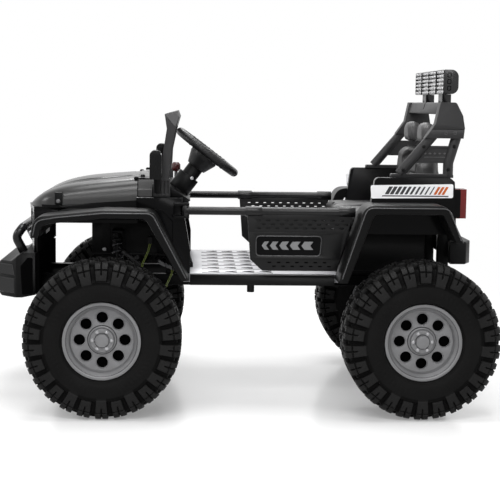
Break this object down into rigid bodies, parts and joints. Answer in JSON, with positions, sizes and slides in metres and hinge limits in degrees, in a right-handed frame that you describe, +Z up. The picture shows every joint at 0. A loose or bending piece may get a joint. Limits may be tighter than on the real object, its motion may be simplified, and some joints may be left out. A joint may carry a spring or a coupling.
{
  "type": "child's ride-on 4x4 toy car",
  "caption": "Two-seat battery ride-on toy 4x4 with big lugged tyres, open cabin, roll bar with lamp bar, low side doors and nose bar.",
  "frame": {"origin": "on the ground under the middle of the outline, where the tyres stand", "axes": "+X to the nose, +Y to the driver's left, +Z up"},
  "size_m": [1.3865, 0.92, 0.9355],
  "materials": {
    "frame_steel": "satin powder coat",
    "drive_plastic": "matt moulded",
    "spring_steel": "bright",
    "floor_silver": "embossed, satin",
    "trim_black": "fine grain",
    "body_black": "gloss",
    "hood_black": "semi-gloss",
    "fender_black": "fine grain",
    "tube_black": "satin",
    "roll_grey": "fine grain",
    "wheel_grip": "grained",
    "tyre_black": "matt moulded",
    "rim_silver": "silver lacquer",
    "seat_leather": "soft",
    "lamp_clear": "clear",
    "lamp_white": "clear",
    "lamp_red": "clear",
    "knob_red": "gloss"
  },
  "bodies": {
    "chassis": {"chassis_frame": "frame_steel", "front_axle": "frame_steel", "rear_axle": "frame_steel", "gearboxes_rear": "drive_plastic", "battery_case": "drive_plastic", "front_springs": "spring_steel", "floor_pan": "floor_silver", "sills": "trim_black", "cowl_body": "body_black", "hood": "hood_black", "hood_catches": "trim_black", "grille_panel": "body_black", "headlamps": "lamp_clear", "marker_lamps": "lamp_clear", "front_bumper": "trim_black", "bull_bar": "tube_black", "front_fenders": "fender_black", "rear_fenders": "fender_black", "rear_tub": "body_black", "seat_base": "trim_black", "tail_lamps": "lamp_red", "rear_bumper": "trim_black", "seat_cushions": "seat_leather", "seat_backs": "seat_leather", "head_rests": "seat_leather", "roll_bar_sides": "roll_grey", "roll_header": "roll_grey", "lamp_pods": "trim_black", "lamp_grids": "lamp_white", "windscreen_frame": "roll_grey", "mirrors": "trim_black", "dashboard": "trim_black", "steering_column": "trim_black", "gear_lever": "spring_steel", "lever_knob": "knob_red", "pedal": "trim_black", "door_hinges": "frame_steel"},
    "steering": {"steering_wheel": "wheel_grip"},
    "knuckle_left": {"knuckle_left": "frame_steel", "gearbox_front_left": "drive_plastic"},
    "knuckle_right": {"knuckle_right": "frame_steel", "gearbox_front_right": "drive_plastic"},
    "wheel_front_left": {"tyre_front_left": "tyre_black", "rim_front_left": "rim_silver"},
    "wheel_front_right": {"tyre_front_right": "tyre_black", "rim_front_right": "rim_silver"},
    "wheel_rear_left": {"tyre_rear_left": "tyre_black", "rim_rear_left": "rim_silver"},
    "wheel_rear_right": {"tyre_rear_right": "tyre_black", "rim_rear_right": "rim_silver"},
    "door_left": {"door_rail_left": "tube_black", "door_panel_left": "body_black"},
    "door_right": {"door_rail_right": "tube_black", "door_panel_right": "body_black"}
  },
  "joints": [
    {"name": "steering", "type": "hinge", "parent": "chassis", "child": "steering", "pos_m": [0.091, 0.12, 0.697], "axis": [-0.6018, 0, 0.7986], "range_deg": [-54, 54]},
    {"name": "steer_left", "type": "hinge", "parent": "chassis", "child": "knuckle_left", "pos_m": [0.367, 0.245, 0.21], "axis": [0, 0, 1], "range_deg": [-18, 18]},
    {"name": "steer_right", "type": "hinge", "parent": "chassis", "child": "knuckle_right", "pos_m": [0.367, -0.245, 0.21], "axis": [0, 0, 1], "range_deg": [-18, 18]},
    {"name": "spin_front_left", "type": "hinge", "parent": "knuckle_left", "child": "wheel_front_left", "pos_m": [0.367, 0.372, 0.21], "axis": [0, 1, 0], "continuous": true},
    {"name": "spin_front_right", "type": "hinge", "parent": "knuckle_right", "child": "wheel_front_right", "pos_m": [0.367, -0.372, 0.21], "axis": [0, 1, 0], "continuous": true},
    {"name": "spin_rear_left", "type": "hinge", "parent": "chassis", "child": "wheel_rear_left", "pos_m": [-0.483, 0.372, 0.21], "axis": [0, 1, 0], "continuous": true},
    {"name": "spin_rear_right", "type": "hinge", "parent": "chassis", "child": "wheel_rear_right", "pos_m": [-0.483, -0.372, 0.21], "axis": [0, 1, 0], "continuous": true},
    {"name": "door_left", "type": "hinge", "parent": "chassis", "child": "door_left", "pos_m": [0.15, 0.317, 0.546], "axis": [0, 0, -1], "range_deg": [0, 65]},
    {"name": "door_right", "type": "hinge", "parent": "chassis", "child": "door_right", "pos_m": [0.15, -0.317, 0.546], "axis": [0, 0, 1], "range_deg": [0, 65]}
  ],
  "couplings": [
    {"joint": "steer_left", "follows": "steering", "ratio": 0.33333},
    {"joint": "steer_right", "follows": "steering", "ratio": 0.33333}
  ]
}
